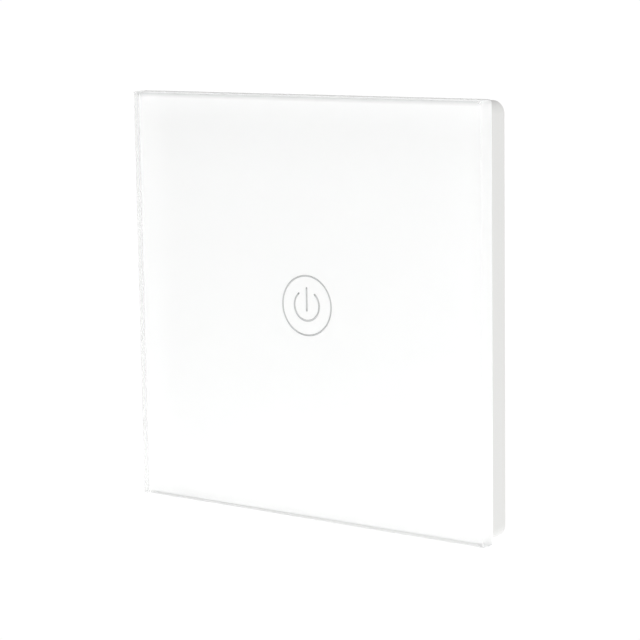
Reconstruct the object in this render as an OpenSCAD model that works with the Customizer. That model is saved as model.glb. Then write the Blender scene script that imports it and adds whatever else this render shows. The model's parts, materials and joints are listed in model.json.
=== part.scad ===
// Touch light switch: a glass front panel that pulls off a wall-mounted base.
// The wall is the plane y = 0, the glass faces -y and the rear housing goes into the wall box.

/* [Glass panel] */
// Side of the square glass panel
panel_w = 86; // [84:0.5:90]
// Thickness of the glass
glass_t = 4; // [3:0.1:5]
// Radius of the glass corners, seen from the front
glass_corner_r = 0.6; // [0.3:0.1:2]
// Width of the bevel along the front edges of the glass
front_bevel = 0.5; // [0.2:0.1:1]
// Width of the bevel along the rear edges of the glass
rear_bevel = 0.3; // [0.1:0.1:0.8]
// Thickness of the white print on the back of the glass
print_t = 0.1; // [0.05:0.05:0.3]
// Bare glass left around the print
print_margin = 0.4; // [0.3:0.1:2]

/* [Touch sign] */
// Outer diameter of the ring
ring_d = 12.4; // [10:0.1:14]
// Line width of the ring
ring_line = 0.3; // [0.2:0.05:0.8]
// Outer diameter of the open arc inside the ring
arc_d = 6.5; // [4:0.1:8]
// Line width of the arc and the bar
sign_line = 0.35; // [0.2:0.05:0.8]
// Half of the angle that the arc leaves open at its top
arc_gap = 40; // [25:1:60]
// Reach of the bar above the centre of the arc
bar_up = 3.6; // [2.5:0.1:4.5]
// Reach of the bar below the centre of the arc
bar_down = 1; // [0.2:0.1:2]
// Height of the sign above the centre of the panel
sign_rise = 0.8; // [0:0.1:2]
// Gap between the ink of the sign and the edge of the white print
ink_gap = 0.03; // [0.01:0.01:0.1]

/* [Front frame] */
// Step of the frame in from the edge of the glass
frame_inset = 0.5; // [0.2:0.1:2]
// Depth of the frame, from the tape to the wall
frame_depth = 4.7; // [4.2:0.1:7]
// Thickness of the wall around the frame
frame_wall = 1.6; // [1:0.1:2.5]
// Radius of the frame corners, seen from the front
frame_corner_r = 2.5; // [1:0.1:5]
// Thickness of the web that carries the tape
web_t = 1.2; // [0.8:0.1:2]
// Reach of the web in from the wall of the frame
web_reach = 4.9; // [3.9:0.1:5.9]
// Corner radius of the window in the web
window_r = 16; // [14:0.5:20]
// Thickness of the double-sided tape
tape_t = 0.4; // [0.2:0.1:1]
// Step of the tape in from the edges of the web
tape_margin = 1; // [0.5:0.1:2]
// Diameter of the push-fit pegs
peg_d = 4; // [3:0.1:5]
// Step of a peg axis in from the wall of the frame, both ways
peg_step = 6.9; // [5.9:0.1:7.9]
// Clearance of a peg from the wall of its socket
peg_gap = 0.05; // [0.02:0.01:0.1]
// Gap between the end of a peg and the wall
peg_end_gap = 0.3; // [0.1:0.1:1]
// Width of the notch that takes a prising blade
notch_w = 8; // [5:0.5:15]
// Depth of the notch, measured from the wall
notch_depth = 1.6; // [1:0.1:2.5]

/* [Mounting plate] */
// Thickness of the mounting plate
plate_t = 2; // [1.6:0.1:2.4]
// Gap between the mounting plate and the wall of the frame
plate_gap = 1.4; // [0.5:0.1:2.5]
// Corner radius of the mounting plate
plate_corner_r = 3; // [1:0.1:5]
// Wall of a peg socket
socket_wall = 1.2; // [0.8:0.1:2]
// Distance between the two fixing slots
fixing_spacing = 60.3; // [60:0.1:62]
// Width of a fixing slot
slot_w = 4.2; // [3.6:0.1:5]
// Length of a fixing slot from end to end
slot_l = 8; // [6:0.1:8.4]
// Depth of the recess in which the rear housing stands
seat_depth = 0.4; // [0.2:0.1:0.8]
// Height of the rim that locates the rear housing
rim_h = 2; // [1:0.1:4]
// Thickness of the rim
rim_t = 1; // [0.8:0.1:1.6]
// Clearance between the rim and the rear housing
rim_gap = 0.2; // [0.1:0.05:0.4]

/* [Light guide and touch spring] */
// Outer diameter of the light guide
guide_d = 13.4; // [13:0.1:15]
// Wall of the light guide
guide_wall = 1.2; // [0.8:0.1:1.5]
// Diameter of the flange of the light guide
flange_d = 16; // [15.5:0.1:16.6]
// Thickness of the flange
flange_t = 1; // [0.6:0.1:1.1]
// Radial clearance of the light guide in the plate
guide_gap = 0.2; // [0.1:0.05:0.4]
// Gap between the print and what stands behind it
print_gap = 0.2; // [0.1:0.05:0.5]
// Outer diameter of the touch spring
spring_d = 8.4; // [7.5:0.1:8.6]
// Wire diameter of the touch spring
spring_wire = 0.6; // [0.4:0.05:0.65]
// Turns of the touch spring
spring_turns = 5; // [3:1:5]
// Length of an indicator LED
led_l = 1.6; // [1:0.1:2]
// Width of an indicator LED
led_w = 0.8; // [0.5:0.1:0.9]
// Height of an indicator LED
led_h = 0.6; // [0.4:0.1:1]

/* [Boards] */
// Side of the touch board
touch_board_w = 30; // [28:0.5:31]
// Thickness of the touch board
touch_board_t = 1.2; // [0.8:0.1:1.6]
// Height of the standoffs under the touch board
standoff_h = 1.2; // [1.2:0.1:2]
// Diameter of the standoffs
standoff_d = 4.6; // [4:0.1:5.5]
// Space between the two boards
board_space = 4.6; // [4.2:0.1:8]
// Thickness of the power board
power_board_t = 1.6; // [1:0.1:2]
// Clearance between the power board and the housing
board_gap = 0.4; // [0.2:0.1:0.8]
// Corner radius of the boards
board_r = 1; // [0.5:0.1:2]
// Diameter of the component leads
lead_d = 0.8; // [0.5:0.05:1]
// Clearance around a lead in its hole
lead_gap = 0.1; // [0.05:0.05:0.2]
// Length of lead that shows past the board
lead_end = 1; // [0.5:0.1:1.6]
// Pins in the header between the boards
header_pins_n = 5; // [3:1:6]
// Pitch of the header
header_pitch = 2.54; // [2:0.01:2.54]
// Step of the header in from the lower edge of the touch board
header_step = 7; // [6.6:0.1:7.4]
// Width of the header body
header_w = 2.5; // [2:0.1:3]
// Diameter of a header pin
header_pin_d = 0.64; // [0.5:0.02:0.8]

/* [Screws] */
// Thread diameter of the touch board screws
board_screw_d = 2; // [1.6:0.1:2.4]
// Head diameter of the touch board screws
board_screw_head_d = 3.8; // [3.4:0.1:4.4]
// Head height of the touch board screws
board_screw_head_h = 1.3; // [1:0.1:1.8]
// Depth of the touch board screws in the plate
board_screw_grip = 2; // [1.5:0.1:2.2]
// Thread diameter of the housing screws
housing_screw_d = 2.9; // [2.4:0.1:3.2]
// Head diameter of the housing screws
housing_screw_head_d = 5; // [4.6:0.1:5.2]
// Head height of the housing screws
housing_screw_head_h = 2; // [1.5:0.1:2.5]
// Depth of the housing screws in the plate bosses
housing_screw_grip = 5; // [3:0.1:5.5]
// Length of pillar that a housing screw clamps
pillar_clamp = 6; // [4:0.5:9]
// Length of a cross recess, as a share of the head diameter
recess_l = 0.6; // [0.5:0.05:0.7]
// Width of a cross recess, as a share of the head diameter
recess_w = 0.16; // [0.12:0.01:0.2]
// Clearance around a screw thread
thread_gap = 0.05; // [0.02:0.01:0.1]
// Clearance around a screw that passes through a piece
pass_gap = 0.2; // [0.1:0.05:0.3]
// Clearance around a screw head
head_gap = 0.3; // [0.2:0.05:0.4]
// Depth of a screw pilot hole past the end of its screw
pilot_spare = 0.6; // [0.2:0.1:0.7]

/* [Rear housing] */
// Outer width and height of the rear housing
housing_w = 50; // [50:0.1:51]
// Wall of the rear housing
housing_wall = 1.6; // [1.2:0.1:1.7]
// Corner radius of the rear housing
housing_corner_r = 3; // [2:0.1:5]
// Diameter of the screw pillars and bosses
pillar_d = 7.2; // [6.8:0.1:7.4]
// Gap between a pillar and the wall of the housing
pillar_step = 0.4; // [0.2:0.1:0.5]
// Gap between the tallest component and the rear wall
rear_gap = 0.3; // [0.2:0.1:1]
// Number of vent slots in the rear wall
vent_n = 6; // [3:1:7]
// Width of a vent slot
vent_w = 1.5; // [1:0.1:2]
// Length of a vent slot
vent_l = 16; // [8:0.5:18]
// Pitch of the vent slots
vent_pitch = 4; // [3:0.1:4.4]

/* [Terminals] */
// Gap between the terminal body and the screw pillars beside it
terminal_gap = 1.25; // [0.6:0.05:2.2]
// Wall between the cells of the terminal body, and around them
cell_wall = 1.2; // [0.8:0.1:1.4]
// Clearance of a cage in its cell
cell_gap = 0.25; // [0.15:0.05:0.3]
// Floor of the terminal body
terminal_floor = 1.2; // [0.8:0.1:2]
// Width of the wire room inside a cage
wire_room_w = 4.6; // [4.3:0.1:4.8]
// Height of the wire room inside an open cage
wire_room_h = 4.4; // [4.2:0.1:5]
// Sheet thickness of a cage
cage_wall = 0.8; // [0.6:0.1:1]
// Length of a cage along the wire
cage_l = 6; // [5.5:0.1:6.5]
// Thickness of the threaded wall of a cage
nut_t = 1.6; // [1.2:0.1:2]
// Travel of a cage from open to closed
cage_travel = 3.6; // [3:0.1:3.8]
// Thickness of the contact bars
bar_t = 1; // [0.6:0.1:1.2]
// Clearance of a contact bar in its slot and in the cage
bar_gap = 0.15; // [0.1:0.05:0.2]
// Thread diameter of a terminal screw
terminal_screw_d = 3.5; // [3:0.1:3.6]
// Head diameter of a terminal screw
terminal_head_d = 5.2; // [4.8:0.1:5.6]
// Head height of a terminal screw
terminal_head_h = 1.6; // [1.2:0.1:2]
// Ledge of the terminal body under a screw head
ledge_t = 0.8; // [0.6:0.1:1.2]
// Diameter of the holes that let a screwdriver in
driver_d = 6.2; // [6:0.1:7]
// Width and height of the wire holes in the housing
wire_hole = 5.2; // [5:0.1:5.6]

/* [Relay] */
// Height of the relay
relay_h = 15.5; // [14:0.1:15.6]
// Depth of the relay, off the board
relay_d = 15; // [14:0.1:16]
// Wall of the relay case
relay_wall = 0.8; // [0.5:0.1:1]
// Thickness of the relay base
relay_base_t = 1.5; // [1:0.1:2]
// Clearance between the pieces of the relay
relay_gap = 0.15; // [0.1:0.05:0.2]
// Thickness of the relay yoke
yoke_t = 1.2; // [1:0.1:1.4]
// Width of the yoke and the armature
yoke_w = 8; // [6:0.1:9]
// Diameter of the core through the bobbin
core_d = 3; // [2.5:0.1:3.5]
// Diameter of the pole face
pole_d = 5; // [4.2:0.1:5.5]
// Outer diameter of the relay winding
winding_d = 8.6; // [7.5:0.1:8.8]
// Thickness of the bobbin walls
bobbin_wall = 0.6; // [0.4:0.05:0.8]
// Thickness of the armature
armature_t = 1; // [0.8:0.1:1.2]
// Thickness of the contact blade
blade_t = 0.3; // [0.2:0.05:0.4]
// Diameter of the contact buttons
button_d = 2.4; // [1.8:0.1:2.6]
// Height of the contact buttons
button_h = 0.8; // [0.5:0.1:1]
// Angle through which the armature closes
armature_swing = 4; // [3:0.1:5]

/* [Components] */
// Gap between neighbouring components
part_gap = 1.2; // [0.8:0.1:1.4]
// Step of the components in from the board edge
edge_step = 1; // [0.6:0.1:1.2]
// Width of the transformer, along x
transformer_w = 12.5; // [11:0.1:13]
// Height of the transformer, along z
transformer_h = 11; // [10:0.1:11.5]
// Depth of the transformer, off the board
transformer_d = 11; // [10:0.1:14]
// Thickness of the transformer core limbs
core_limb = 2.2; // [1.8:0.1:2.6]
// Gap between the upper screw pillars and the relay and capacitor between them
row_gap = 1.4; // [0.8:0.1:1.8]
// Share of the width between the upper pillars that the smoothing capacitor takes
can_share = 0.29; // [0.26:0.01:0.32]
// Length of the smoothing capacitor
can_l = 11.5; // [9:0.1:14]
// Width of the film capacitor
film_w = 13; // [10:0.1:13]
// Thickness of the film capacitor
film_t = 6; // [5:0.1:6]
// Depth of the film capacitor, off the board
film_d = 11; // [9:0.1:14]
// Diameter of the varistor disc
varistor_d = 7.5; // [6:0.1:8]
// Thickness of the varistor disc
varistor_t = 3.2; // [2.5:0.1:4]
// Diameter of the fuse
fuse_d = 3.2; // [2.5:0.1:3.6]
// Length of the fuse
fuse_l = 8.5; // [7:0.1:9.5]
// Length of the rectifier body
rectifier_l = 4.7; // [4:0.1:5]
// Width of the rectifier body
rectifier_w = 3.9; // [3.5:0.1:4.2]
// Height of the rectifier body
rectifier_h = 2.4; // [2:0.1:3]
// Distance of the touch chip and the small parts from the board centre, as a share of its width
chip_side = 0.2; // [0.18:0.01:0.25]
// Height of the touch chip and the small parts above the board centre, as a share of its width
chip_rise = 0.17; // [0.1:0.01:0.2]
// Length of the touch chip body
chip_l = 4.9; // [4:0.1:5.5]
// Width of the touch chip body
chip_w = 3.9; // [3.4:0.1:4.4]
// Height of the touch chip body
chip_h = 1.5; // [1.2:0.1:1.8]
// Length of a small chip part
chip_part_l = 2; // [1.2:0.1:2.4]
// Width of a small chip part
chip_part_w = 1.2; // [0.8:0.1:1.4]
// Height of a small chip part
chip_part_h = 0.6; // [0.4:0.1:1]

/* [Hidden] */
$fn = 64;

// Amount by which a cut runs past the faces it opens
over = 1;
corner_signs = [[-1, -1], [1, -1], [1, 1], [-1, 1]];
poles = [-1, 0, 1];

// Front stack, from the wall out to the glass
web_back = web_t - frame_depth;
tape_back = -frame_depth;
print_back = tape_back - tape_t;
glass_back = print_back - print_t;
glass_front = glass_back - glass_t;
plate_front = -plate_t;
frame_w = panel_w - 2 * frame_inset;
frame_inner_w = frame_w - 2 * frame_wall;
window_w = frame_inner_w - 2 * web_reach;
plate_w = frame_inner_w - 2 * plate_gap;
socket_d = peg_d + 2 * peg_gap + 2 * socket_wall;
peg_c = frame_inner_w / 2 - peg_step;

// Rear stack, from the wall into the wall box
touch_front = standoff_h;
touch_back = touch_front + touch_board_t;
power_front = touch_back + board_space;
power_back = power_front + power_board_t;
housing_inner_w = housing_w - 2 * housing_wall;
power_board_w = housing_inner_w - 2 * board_gap;
pillar_c = housing_inner_w / 2 - pillar_step - pillar_d / 2;
pillar_in = pillar_c - pillar_d / 2;
standoff_c = touch_board_w / 2 - standoff_d / 2 - board_r / 2;

// Terminal stack, from the power board to the top of the screw head
cage_floor_y = power_back + terminal_floor + cell_gap;
wire_y = cage_floor_y + cage_wall;
bar_y = wire_y + wire_room_h;
nut_y = bar_y + bar_t + bar_gap;
ledge_y = nut_y + nut_t + cage_travel + bar_gap;
head_y = ledge_y + ledge_t + thread_gap;
terminal_top = head_y + terminal_head_h;
cage_w = wire_room_w + 2 * cage_wall;
cell_w = cage_w + 2 * cell_gap;
cell_l = cage_l + 2 * cell_gap;
bar_w = wire_room_w - 2 * bar_gap;
pole_pitch = pillar_in - terminal_gap - cell_wall - cell_w / 2;
terminal_w = 2 * pole_pitch + cell_w + 2 * cell_wall;
terminal_low = -power_board_w / 2;
cell_low = terminal_low + cell_wall;
cage_z = cell_low + cell_l / 2;
leg_z = cell_low + cell_l + cell_wall + bar_t / 2;
terminal_high = leg_z + bar_t / 2 + cell_wall;
bar_low = cell_low - cell_wall / 2;

// Places of the components on the power board
board_top = power_board_w / 2 - edge_step;
row_w = 2 * pillar_in - 2 * row_gap - part_gap;
can_d = can_share * row_w;
relay_w = row_w - can_d;
relay_left = -pillar_in + row_gap;
relay_x = relay_left + relay_w / 2;
relay_z = board_top - relay_h / 2;
relay_right = relay_left + relay_w;
relay_low = board_top - relay_h;
can_x = relay_right + part_gap + can_d / 2;
can_z = board_top - can_d / 2;
transformer_x = relay_right + part_gap + transformer_w / 2;
transformer_z = board_top - can_d - part_gap - transformer_h / 2;
film_x = -power_board_w / 2 + edge_step + film_w / 2;
film_z = relay_low - part_gap - film_t / 2;
varistor_x = film_x + film_w / 2 + part_gap + varistor_d / 2;
varistor_z = relay_low - part_gap - varistor_t / 2;
rectifier_x = film_x + film_w / 2 + part_gap + rectifier_l / 2;
rectifier_z = varistor_z - varistor_t / 2 - part_gap - rectifier_w / 2;
fuse_x = relay_right + part_gap + fuse_l / 2;
fuse_z = transformer_z - transformer_h / 2 - part_gap - fuse_d / 2;
header_z = max(header_step - touch_board_w / 2, terminal_high + part_gap + header_w / 2);
film_lead = film_w / 2 - 2 * lead_d;
varistor_lead = varistor_d / 4;
can_lead = can_d / 4;
fuse_lead = fuse_l / 2 - lead_d;
transformer_lead_x = transformer_w / 2 - core_limb - lead_d;
transformer_lead_z = transformer_h / 2 - core_limb / 2;

// Rear housing depth, set by the tallest component
tallest = max(terminal_top, power_back + max(relay_d, transformer_d, can_l, film_d));
housing_back_inner = tallest + rear_gap;
housing_back = housing_back_inner + housing_wall;
screw_seat = power_back + pillar_clamp;

// Relay inside, measured from the centre of the relay
relay_in_x = relay_w / 2 - relay_wall - relay_gap;
relay_in_z = relay_h / 2 - relay_wall - relay_gap;
relay_floor = power_back + relay_base_t;
blade_top = power_back + relay_d - relay_wall - 2 * relay_gap;
armature_back = blade_top - blade_t;
armature_front = armature_back - armature_t;
pivot_u = -relay_in_x + yoke_t / 2 + relay_gap;
pivot_y = armature_front - yoke_t / 2 - thread_gap;
coil_u = pivot_u + yoke_t / 2 + relay_gap + bobbin_wall + winding_d / 2;
pole_reach = coil_u + pole_d / 2 - pivot_u;
pole_y = pivot_y + (armature_front - pivot_y) * cos(armature_swing) - pole_reach * sin(armature_swing)
    - thread_gap;
pole_t = bobbin_wall;
bobbin_low = relay_floor + yoke_t;
bobbin_high = pole_y - pole_t;
button_u = relay_in_x - button_d / 2 - relay_gap;
button_drop = (button_u + button_d / 2 - pivot_u) * sin(armature_swing);
moving_button_y = armature_back - button_h;
fixed_button_y = moving_button_y - button_drop - relay_gap;
strip_t = blade_t;
strip_u = relay_in_x - lead_d / 2 - relay_gap - strip_t / 2;
coil_pin_z = relay_in_z - lead_d;

// Touch spring, wound along y from the touch board to the print
spring_r = (spring_d - spring_wire) / 2;
spring_low = touch_front - print_gap / 4;
spring_high = print_back + print_gap;
spring_sides = 6;
spring_rings = 8;
spring_lead = atan((spring_low - spring_high - spring_wire) / (spring_turns * 2 * PI * spring_r));
spring_rise = spring_low - spring_high - spring_wire - 2 * spring_wire * sin(spring_lead);
spring_steps = spring_turns * spring_rings;

// Points on the axis of the wire, with a straight wire diameter at both ends
function spring_at(i) =
    let (turn = 360 * i / spring_rings)
    [spring_r * cos(turn),
     spring_low - spring_wire / 2 - spring_wire * sin(spring_lead) - spring_rise * i / spring_steps,
     spring_r * sin(turn)];
function spring_way(i) =
    let (turn = 360 * i / spring_rings)
    [-sin(turn) * cos(spring_lead), -sin(spring_lead), cos(turn) * cos(spring_lead)];
spring_path = concat(
    [spring_at(0) - spring_wire * spring_way(0)],
    [for (i = [0 : spring_steps]) spring_at(i)],
    [spring_at(spring_steps) + spring_wire * spring_way(spring_steps)]
);
spring_ways = concat(
    [spring_way(0)],
    [for (i = [0 : spring_steps]) spring_way(i)],
    [spring_way(spring_steps)]
);
spring_turn_of = concat([0], [for (i = [0 : spring_steps]) 360 * i / spring_rings], [360 * spring_turns]);
spring_points = [
    for (k = [0 : len(spring_path) - 1])
        let (out = [cos(spring_turn_of[k]), 0, sin(spring_turn_of[k])])
        let (side = cross(spring_ways[k], out))
        for (s = [0 : spring_sides - 1])
            spring_path[k] + spring_wire / 2
                * (cos(360 * s / spring_sides) * out + sin(360 * s / spring_sides) * side)
];
spring_last = (len(spring_path) - 1) * spring_sides;
spring_faces = concat(
    [for (k = [0 : len(spring_path) - 2], s = [0 : spring_sides - 1])
        let (a = k * spring_sides + s, b = k * spring_sides + (s + 1) % spring_sides)
        [a, b, b + spring_sides]],
    [for (k = [0 : len(spring_path) - 2], s = [0 : spring_sides - 1])
        let (a = k * spring_sides + s, b = k * spring_sides + (s + 1) % spring_sides)
        [a, b + spring_sides, a + spring_sides]],
    [for (s = [1 : spring_sides - 2]) [0, s + 1, s]],
    [for (s = [1 : spring_sides - 2]) [spring_last, spring_last + s, spring_last + s + 1]]
);
spring_self_gap = min([
    for (i = [0 : spring_steps - spring_rings], j = [i + spring_rings / 2 : spring_steps])
        norm(spring_at(i) - spring_at(j)) - spring_wire
]);
echo(spring_self_gap = spring_self_gap);

// Helpers: flat outlines are drawn in x and z and given a depth along y
module deep(y0, y1) {
    translate([0, y1, 0]) rotate([90, 0, 0]) linear_extrude(y1 - y0) children();
}
module round_rect(w, h, r) {
    square([w - 2 * r, h], center = true);
    square([w, h - 2 * r], center = true);
    for (s = corner_signs)
        translate([s[0] * (w / 2 - r), s[1] * (h / 2 - r)]) circle(r);
}
module slot(l, w) {
    square([l - w, w], center = true);
    for (s = [-1, 1])
        translate([s * (l - w) / 2, 0]) circle(d = w);
}
module rod(d, y0, y1) {
    translate([0, y1, 0]) rotate([90, 0, 0]) cylinder(d = d, h = y1 - y0);
}
module box(w, h, y0, y1) {
    translate([-w / 2, y0, -h / 2]) cube([w, y1 - y0, h]);
}
module place(x, z) {
    translate([x, 0, z]) children();
}
module at_corners(c) {
    for (s = corner_signs)
        place(s[0] * c, s[1] * c) children();
}
module at_sign() {
    place(0, sign_rise) children();
}
module at_relay() {
    place(relay_x, relay_z) children();
}
module cross_recess(d, y0, y1) {
    box(recess_l * d, recess_w * d, y0, y1);
    box(recess_w * d, recess_l * d, y0, y1);
}
module leads(positions, y1) {
    for (p = positions)
        place(p[0], p[1]) rod(lead_d, power_front - lead_end, y1);
}

// Places of the leads that go through the power board
relay_leads = [
    [relay_x + coil_u, relay_z - coil_pin_z],
    [relay_x + coil_u, relay_z + coil_pin_z],
    [relay_x + pivot_u, relay_z]
];
contact_leads = [[relay_x + strip_u + strip_t / 2, relay_z]];
transformer_leads = [
    for (s = corner_signs)
        [transformer_x + s[0] * transformer_lead_x, transformer_z + s[1] * transformer_lead_z]
];
can_leads = [for (s = [-1, 1]) [can_x + s * can_lead, can_z]];
film_leads = [for (s = [-1, 1]) [film_x + s * film_lead, film_z]];
varistor_leads = [for (s = [-1, 1]) [varistor_x + s * varistor_lead, varistor_z]];
fuse_leads = [for (s = [-1, 1]) [fuse_x + s * fuse_lead, fuse_z]];
board_leads = concat(relay_leads, contact_leads, transformer_leads, can_leads, film_leads, varistor_leads,
    fuse_leads);
header_xs = [for (i = [0 : header_pins_n - 1]) (i - (header_pins_n - 1) / 2) * header_pitch];
header_l = header_pins_n * header_pitch;

// Front panel
module edge_profile() {
    polygon([
        [-panel_w / 2 + rear_bevel, glass_back],
        [panel_w / 2 - rear_bevel, glass_back],
        [panel_w / 2, glass_back - rear_bevel],
        [panel_w / 2, glass_front + front_bevel],
        [panel_w / 2 - front_bevel, glass_front],
        [-panel_w / 2 + front_bevel, glass_front],
        [-panel_w / 2, glass_front + front_bevel],
        [-panel_w / 2, glass_back - rear_bevel]
    ]);
}
module glass_panel() {
    color("white", 0.5)
    intersection() {
        deep(glass_front, glass_back) round_rect(panel_w, panel_w, glass_corner_r);
        linear_extrude(panel_w + 2 * over, center = true) edge_profile();
        rotate([0, -90, 0]) linear_extrude(panel_w + 2 * over, center = true) edge_profile();
    }
}
module sign_outline(grow) {
    arc_r = arc_d / 2 - sign_line / 2;
    difference() {
        circle(d = ring_d + 2 * grow);
        circle(d = ring_d - 2 * ring_line - 2 * grow);
    }
    difference() {
        circle(d = arc_d + 2 * grow);
        circle(d = arc_d - 2 * sign_line - 2 * grow);
        polygon([
            [0, 0],
            2 * arc_d * [sin(arc_gap), cos(arc_gap)],
            2 * arc_d * [-sin(arc_gap), cos(arc_gap)]
        ]);
    }
    for (s = [-1, 1])
        translate(arc_r * [s * sin(arc_gap), cos(arc_gap)]) circle(d = sign_line + 2 * grow);
    translate([-sign_line / 2 - grow, -bar_down]) square([sign_line + 2 * grow, bar_up + bar_down]);
    for (end = [-bar_down, bar_up])
        translate([0, end]) circle(d = sign_line + 2 * grow);
}
module panel_print() {
    print_w = panel_w - 2 * print_margin;
    color("white")
    deep(glass_back, print_back)
        difference() {
            round_rect(print_w, print_w, glass_corner_r);
            translate([0, sign_rise]) sign_outline(ink_gap);
        }
}
module touch_sign() {
    color("silver")
    deep(glass_back, print_back) translate([0, sign_rise]) sign_outline(0);
}
module bond_tape() {
    tape_w = frame_w - 2 * tape_margin;
    hole_w = window_w + 2 * tape_margin;
    color("gainsboro")
    deep(print_back, tape_back)
        difference() {
            round_rect(tape_w, tape_w, frame_corner_r);
            round_rect(hole_w, hole_w, window_r + tape_margin);
        }
}
module front_frame() {
    color("lightgray") {
        difference() {
            deep(tape_back, 0) round_rect(frame_w, frame_w, frame_corner_r);
            deep(web_back, over)
                round_rect(frame_inner_w, frame_inner_w, max(frame_corner_r - frame_wall, frame_wall / 2));
            deep(tape_back - over, over) round_rect(window_w, window_w, window_r);
            place(0, -frame_w / 2) box(notch_w, 2 * frame_wall + over, -notch_depth, over);
        }
        at_corners(peg_c) rod(peg_d, web_back - web_t / 2, -peg_end_gap);
    }
}

// Mounting plate
module mounting_plate() {
    boss_pilot = power_front - housing_screw_grip - pilot_spare;
    standoff_pilot = touch_front - board_screw_grip - pilot_spare;
    rim_w = housing_inner_w - 2 * rim_gap;
    seat_w = housing_w + 2 * rim_gap;
    color("whitesmoke")
    difference() {
        union() {
            deep(plate_front, 0) round_rect(plate_w, plate_w, plate_corner_r);
            at_corners(peg_c) rod(socket_d, web_back, 0);
            at_corners(pillar_c) rod(pillar_d, plate_front / 2, power_front);
            at_corners(standoff_c) rod(standoff_d, plate_front / 2, touch_front);
            deep(plate_front / 2, rim_h)
                difference() {
                    round_rect(rim_w, rim_w, board_r);
                    square(rim_w - 2 * rim_t, center = true);
                }
        }
        deep(-seat_depth, rim_h + over)
            difference() {
                round_rect(seat_w, seat_w, housing_corner_r + rim_gap);
                round_rect(rim_w, rim_w, board_r);
            }
        at_corners(peg_c) rod(peg_d + 2 * peg_gap, web_back - over, over);
        at_corners(pillar_c) rod(housing_screw_d + 2 * thread_gap, boss_pilot, power_front + over);
        at_corners(standoff_c) rod(board_screw_d + 2 * thread_gap, standoff_pilot, touch_front + over);
        at_sign() rod(guide_d + 2 * guide_gap, plate_front - over, over);
        deep(plate_front - over, over)
            for (s = [-1, 1])
                translate([s * fixing_spacing / 2, 0]) slot(slot_l, slot_w);
    }
}

// Behind the sign
module light_guide() {
    color("azure", 0.6)
    at_sign()
        difference() {
            union() {
                rod(guide_d, print_back + print_gap, touch_front);
                rod(flange_d, touch_front - flange_t, touch_front);
            }
            rod(guide_d - 2 * guide_wall, print_back, touch_front + over);
        }
}
module touch_spring() {
    color("goldenrod")
    at_sign() polyhedron(spring_points, spring_faces, convexity = 10);
}
module indicator_leds() {
    led_r = (spring_d / 2 + guide_d / 2 - guide_wall) / 2;
    color("lightyellow")
    at_sign()
        for (s = [-1, 1])
            place(0, s * led_r) box(led_l, led_w, touch_front - led_h, touch_front);
}

// Touch board
module touch_board() {
    color("darkgreen")
    difference() {
        deep(touch_front, touch_back) round_rect(touch_board_w, touch_board_w, board_r);
        at_corners(standoff_c) rod(board_screw_d + 2 * pass_gap, touch_front - over, touch_back + over);
        for (x = header_xs)
            place(x, header_z) rod(header_pin_d + 2 * lead_gap, touch_front - over, touch_back + over);
    }
}
module touch_chip() {
    legs = 4;
    leg_pitch = chip_l / legs;
    leg_w = leg_pitch / 3;
    leg_t = chip_h / 6;
    leg_out = chip_w / 4;
    color("dimgray")
    place(chip_side * touch_board_w, chip_rise * touch_board_w) {
        box(chip_l, chip_w, touch_back + leg_t / 2, touch_back + chip_h);
        for (i = [0 : legs - 1])
            place((i - (legs - 1) / 2) * leg_pitch, 0) {
                box(leg_w, chip_w + 2 * leg_t, touch_back + chip_h / 2, touch_back + chip_h / 2 + leg_t);
                for (s = [-1, 1])
                    place(0, s * (chip_w / 2 + leg_t / 2)) {
                        box(leg_w, leg_t, touch_back, touch_back + chip_h / 2 + leg_t);
                        place(0, s * leg_out / 2) box(leg_w, leg_out, touch_back, touch_back + leg_t);
                    }
            }
    }
}
module chip_parts() {
    rows = 3;
    color("tan")
    for (i = [0 : rows - 1], s = [-1, 1])
        place(-chip_side * touch_board_w + s * chip_part_l,
            chip_rise * touch_board_w + (i - (rows - 1) / 2) * 2 * chip_part_w)
            box(chip_part_l, chip_part_w, touch_back, touch_back + chip_part_h);
}
module board_screws() {
    color("silver")
    at_corners(standoff_c)
        difference() {
            union() {
                rod(board_screw_d, touch_front - board_screw_grip, touch_back + board_screw_head_h / 2);
                rod(board_screw_head_d, touch_back, touch_back + board_screw_head_h);
            }
            cross_recess(board_screw_head_d, touch_back + board_screw_head_h / 2,
                touch_back + board_screw_head_h + over);
        }
}
module header_body() {
    color("black")
    difference() {
        place(0, header_z) box(header_l, header_w, touch_back, power_front);
        for (x = header_xs)
            place(x, header_z) rod(header_pin_d + 2 * thread_gap, touch_back - over, power_front + over);
    }
}
module header_pins() {
    color("gold")
    for (x = header_xs)
        place(x, header_z) rod(header_pin_d, touch_front, power_back + lead_end / 2);
}

// Power board and its components
module power_board() {
    color("seagreen")
    difference() {
        deep(power_front, power_back) round_rect(power_board_w, power_board_w, board_r);
        at_corners(pillar_c) rod(housing_screw_d + 2 * pass_gap, power_front - over, power_back + over);
        for (p = board_leads)
            place(p[0], p[1]) rod(lead_d + 2 * lead_gap, power_front - over, power_back + over);
        for (x = header_xs)
            place(x, header_z) rod(header_pin_d + 2 * lead_gap, power_front - over, power_back + over);
        for (i = poles)
            place(i * pole_pitch, leg_z)
                box(bar_w / 2 + 2 * lead_gap, bar_t + 2 * lead_gap, power_front - over, power_back + over);
    }
}
module relay_base() {
    color("black")
    difference() {
        at_relay() box(2 * relay_in_x, 2 * relay_in_z, power_back, relay_floor);
        for (p = concat(relay_leads, contact_leads))
            place(p[0], p[1]) rod(lead_d + 2 * thread_gap, power_back - over, relay_floor + over);
    }
}
module relay_case() {
    color("royalblue")
    at_relay()
        difference() {
            box(relay_w, relay_h, power_back, power_back + relay_d);
            box(relay_w - 2 * relay_wall, relay_h - 2 * relay_wall, power_back - over,
                power_back + relay_d - relay_wall);
        }
}
module relay_pins() {
    color("silver") leads(relay_leads, relay_floor);
}
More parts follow.
